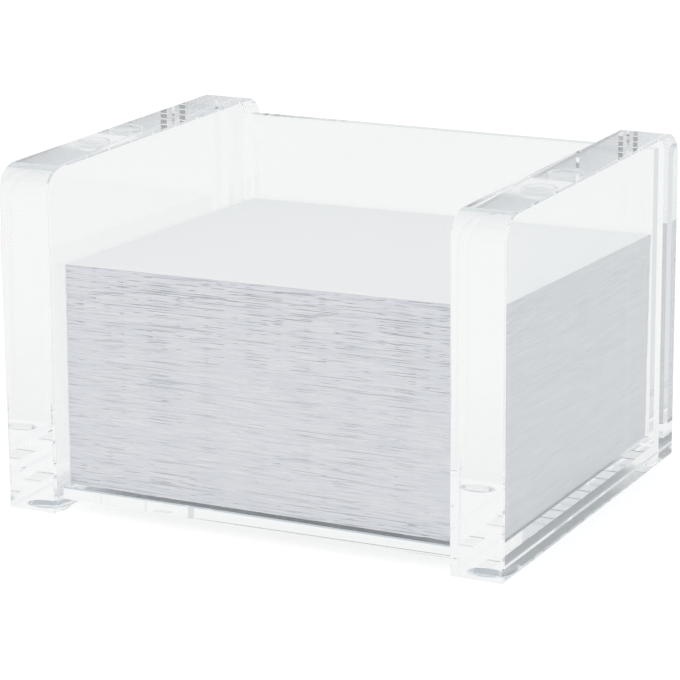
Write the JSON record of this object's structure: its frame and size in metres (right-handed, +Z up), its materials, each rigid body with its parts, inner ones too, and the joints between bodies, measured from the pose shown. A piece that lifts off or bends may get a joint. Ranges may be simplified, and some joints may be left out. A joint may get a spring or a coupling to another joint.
{
  "type": "memo sheet holder",
  "caption": "Clear acrylic holder, open at the front and top, with thick side slabs and a stack of loose memo sheets.",
  "frame": {"origin": "on the surface that the bumper feet rest on, under the centre of the footprint", "axes": "+X to the right seen from the open front, +Y to the rear, +Z up"},
  "size_m": [0.1234, 0.1016, 0.0815],
  "materials": {
    "clear_acrylic": "polished, clear",
    "clear_bumper": "clear polyurethane, smooth",
    "memo_paper": "uncoated white"
  },
  "bodies": {
    "holder": {"side_panel_left": "clear_acrylic", "side_panel_right": "clear_acrylic", "base_panel": "clear_acrylic", "back_panel": "clear_acrylic", "bumper_foot_front_left": "clear_bumper", "bumper_foot_front_right": "clear_bumper", "bumper_foot_rear_left": "clear_bumper", "bumper_foot_rear_right": "clear_bumper"},
    "sheet_stack": {"memo_sheets_01": "memo_paper", "memo_sheets_02": "memo_paper", "memo_sheets_03": "memo_paper", "memo_sheets_04": "memo_paper", "memo_sheets_05": "memo_paper", "memo_sheets_06": "memo_paper", "memo_sheets_07": "memo_paper", "memo_sheets_08": "memo_paper", "memo_sheets_09": "memo_paper", "memo_sheets_10": "memo_paper"},
    "loose_sheet": {"top_sheet": "memo_paper"}
  },
  "joints": [
    {"name": "stack_lift", "type": "slide", "parent": "holder", "child": "sheet_stack", "axis": [0, 0, 1], "range_m": [0, 0.09]},
    {"name": "top_sheet_draw", "type": "slide", "parent": "sheet_stack", "child": "loose_sheet", "axis": [0, -0.9995, 0.0318], "range_m": [0, 0.1]}
  ]
}
